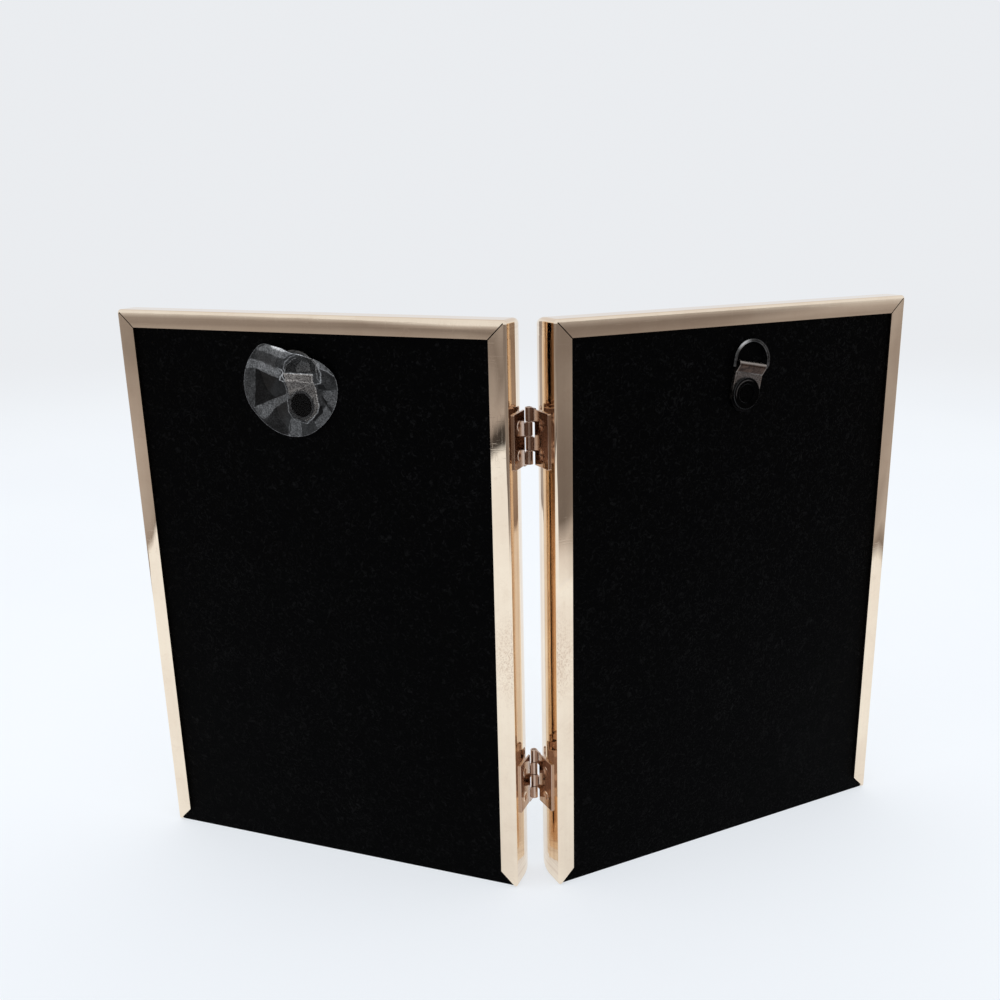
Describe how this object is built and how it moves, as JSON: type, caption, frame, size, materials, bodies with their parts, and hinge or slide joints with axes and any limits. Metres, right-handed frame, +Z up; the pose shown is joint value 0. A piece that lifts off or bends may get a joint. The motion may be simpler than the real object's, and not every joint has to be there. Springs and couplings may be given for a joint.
{
  "type": "photo frame",
  "caption": "Hinged double photo frame in rose-gold metal, standing open like a book, with black leather-grain slide-in backs, hangers and glass",
  "frame": {"origin": "the point under the middle of the opened pair, on the surface that it stands on", "axes": "X across the pair, to the right as seen from the picture side; Y from the picture side to the backs; Z up along the hinge pins"},
  "size_m": [0.254, 0.0652, 0.1824],
  "materials": {
    "frame_metal": "polished",
    "hinge_metal": "polished",
    "hinge_rivet_metal": "polished",
    "hinge_pin_steel": "satin",
    "clear_glass": "clear",
    "insert_paper": "matte",
    "packing_card": "matte",
    "backing_board": "matte",
    "black_leatherette": "satin",
    "dark_rivet": "satin",
    "hanger_steel": "satin",
    "ring_wire": "satin",
    "clear_film": "clear"
  },
  "bodies": {
    "right_frame": {"right_shell": "frame_metal", "right_glass": "clear_glass", "right_photo_insert": "insert_paper", "right_packing_card": "packing_card", "right_upper_hinge_leaf": "hinge_metal", "right_lower_hinge_leaf": "hinge_metal", "right_hinge_rivets": "hinge_rivet_metal", "upper_hinge_pin": "hinge_pin_steel", "lower_hinge_pin": "hinge_pin_steel"},
    "right_back": {"right_backing_board": "backing_board", "right_back_cover": "black_leatherette", "right_hanger_rivet": "dark_rivet", "right_hanger_strap": "hanger_steel", "right_hanger_ring": "ring_wire", "clear_sticker": "clear_film"},
    "left_frame": {"left_shell": "frame_metal", "left_glass": "clear_glass", "left_photo_insert": "insert_paper", "left_packing_card": "packing_card", "left_upper_hinge_leaf": "hinge_metal", "left_lower_hinge_leaf": "hinge_metal", "left_hinge_rivets": "hinge_rivet_metal"},
    "left_back": {"left_backing_board": "backing_board", "left_back_cover": "black_leatherette", "left_hanger_rivet": "dark_rivet"},
    "left_strap": {"left_hanger_strap": "hanger_steel"},
    "left_ring": {"left_hanger_ring": "ring_wire"}
  },
  "joints": [
    {"name": "fold", "type": "hinge", "parent": "right_frame", "child": "left_frame", "pos_m": [0, 0.01921, 0], "axis": [0, 0, -1], "range_deg": [-132.5, 47.5]},
    {"name": "right_back_slide", "type": "slide", "parent": "right_frame", "child": "right_back", "axis": [0, 0, -1], "range_m": [0, 0.183]},
    {"name": "left_back_slide", "type": "slide", "parent": "left_frame", "child": "left_back", "axis": [0, 0, -1], "range_m": [0, 0.183]},
    {"name": "left_strap_swivel", "type": "hinge", "parent": "left_back", "child": "left_strap", "pos_m": [-0.06775, 0.00497, 0.1558], "axis": [-0.4027, 0.9153, 0], "continuous": true},
    {"name": "left_ring_swing", "type": "hinge", "parent": "left_strap", "child": "left_ring", "pos_m": [-0.06981, 0.00558, 0.16424], "axis": [-0.8985, -0.3953, -0.1908], "range_deg": [0, 160]}
  ]
}
